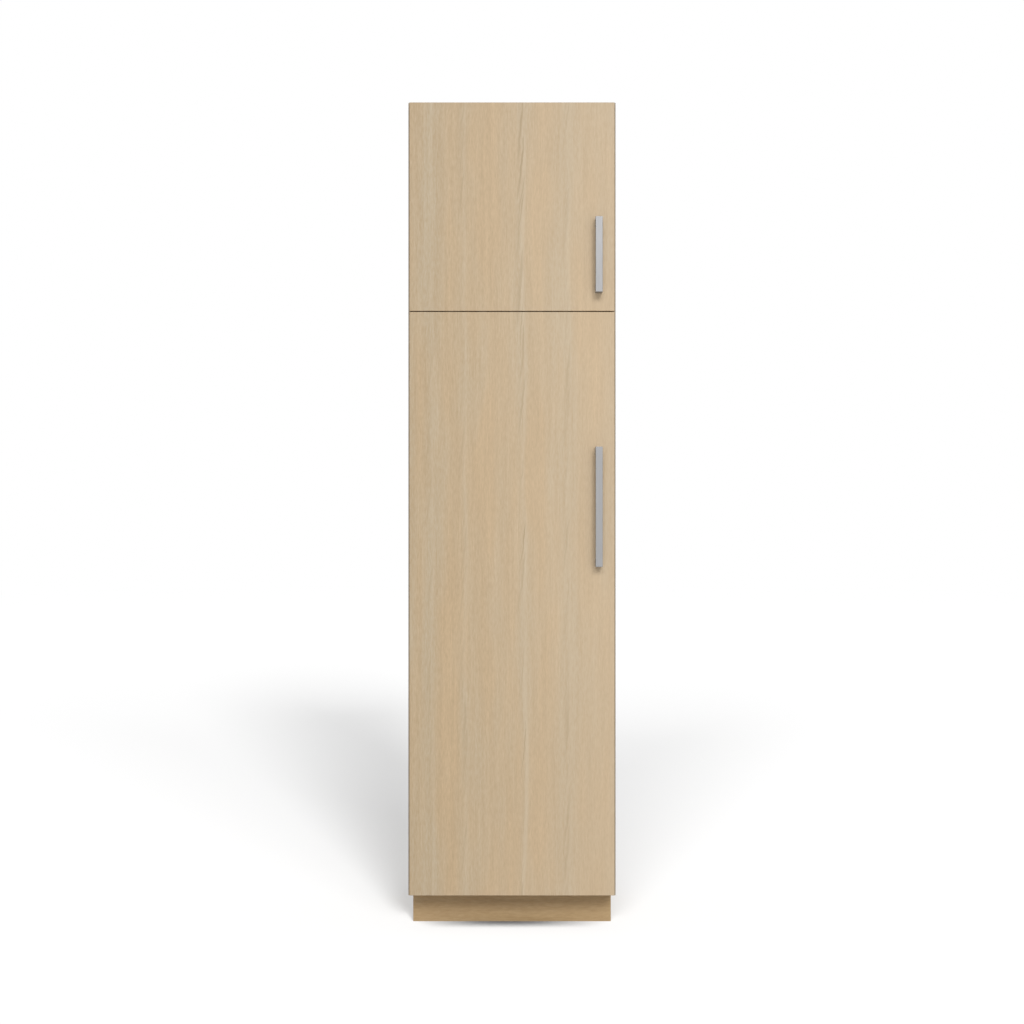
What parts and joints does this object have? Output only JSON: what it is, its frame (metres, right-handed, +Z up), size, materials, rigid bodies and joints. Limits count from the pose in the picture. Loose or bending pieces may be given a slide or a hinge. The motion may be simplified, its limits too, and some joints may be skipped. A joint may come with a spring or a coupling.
{
  "type": "linen cabinet",
  "caption": "Tall narrow linen cabinet with stacked flush wood-grain doors on concealed hinges, flat bar handles, adjustable shelves inside and a set-back plinth.",
  "frame": {"origin": "on the floor, at the middle of the overall width and depth", "axes": "+Z up, doors face -Y, +X to the viewer's right when facing the doors"},
  "size_m": [0.6, 0.503, 2.3905],
  "materials": {
    "oak_door_veneer": "matte pale oak veneer with upright grain",
    "oak_edge_band": "matte pale oak edge band",
    "oak_board": "matte pale oak faced board",
    "oak_back_board": "matte thin oak faced board",
    "beech": "plain unfinished beech",
    "satin_aluminium": "fine satin, brushed along the bar",
    "plated_steel": "bright nickel plate, fine brushing",
    "cast_zinc": "dull cast zinc",
    "clear_rubber": "soft milky rubber"
  },
  "bodies": {
    "carcass": {"back_panel": "oak_back_board", "back_panel_screws": "plated_steel", "bottom_panel": "oak_board", "cam_bolts": "plated_steel", "cam_locks": "cast_zinc", "carcass_edge_bands": "oak_edge_band", "divider_panel": "oak_board", "hinge_arm_screws": "plated_steel", "hinge_plate_screws": "plated_steel", "left_side_panel": "oak_board", "lower_hinge_arms": "plated_steel", "lower_hinge_plates": "plated_steel", "lower_shelf_1": "oak_board", "lower_shelf_2": "oak_board", "lower_shelf_3": "oak_board", "lower_shelf_4": "oak_board", "plinth_brace": "oak_board", "plinth_corner_blocks": "beech", "plinth_front": "oak_board", "plinth_left": "oak_board", "plinth_rear": "oak_board", "plinth_right": "oak_board", "plinth_screws": "plated_steel", "right_side_panel": "oak_board", "shelf_edge_bands": "oak_edge_band", "shelf_pins": "plated_steel", "top_panel": "oak_board", "upper_hinge_arms": "plated_steel", "upper_hinge_plates": "plated_steel", "upper_shelf": "oak_board", "wall_rail": "oak_board", "wood_dowels": "beech"},
    "upper_door": {"upper_cup_screws": "plated_steel", "upper_door_bumpers": "clear_rubber", "upper_door_edge_bands": "oak_edge_band", "upper_door_panel": "oak_door_veneer", "upper_handle": "satin_aluminium", "upper_handle_screws": "plated_steel", "upper_hinge_cups": "plated_steel", "upper_hinge_pins": "plated_steel"},
    "lower_door": {"lower_cup_screws": "plated_steel", "lower_door_bumpers": "clear_rubber", "lower_door_edge_bands": "oak_edge_band", "lower_door_panel": "oak_door_veneer", "lower_handle": "satin_aluminium", "lower_handle_screws": "plated_steel", "lower_hinge_cups": "plated_steel", "lower_hinge_pins": "plated_steel"}
  },
  "joints": [
    {"name": "upper_door_swing", "type": "hinge", "parent": "carcass", "child": "upper_door", "pos_m": [-0.288, -0.211, 2.0855], "axis": [0, 0, -1], "range_deg": [0, 95]},
    {"name": "lower_door_swing", "type": "hinge", "parent": "carcass", "child": "lower_door", "pos_m": [-0.288, -0.211, 0.941], "axis": [0, 0, -1], "range_deg": [0, 95]}
  ]
}
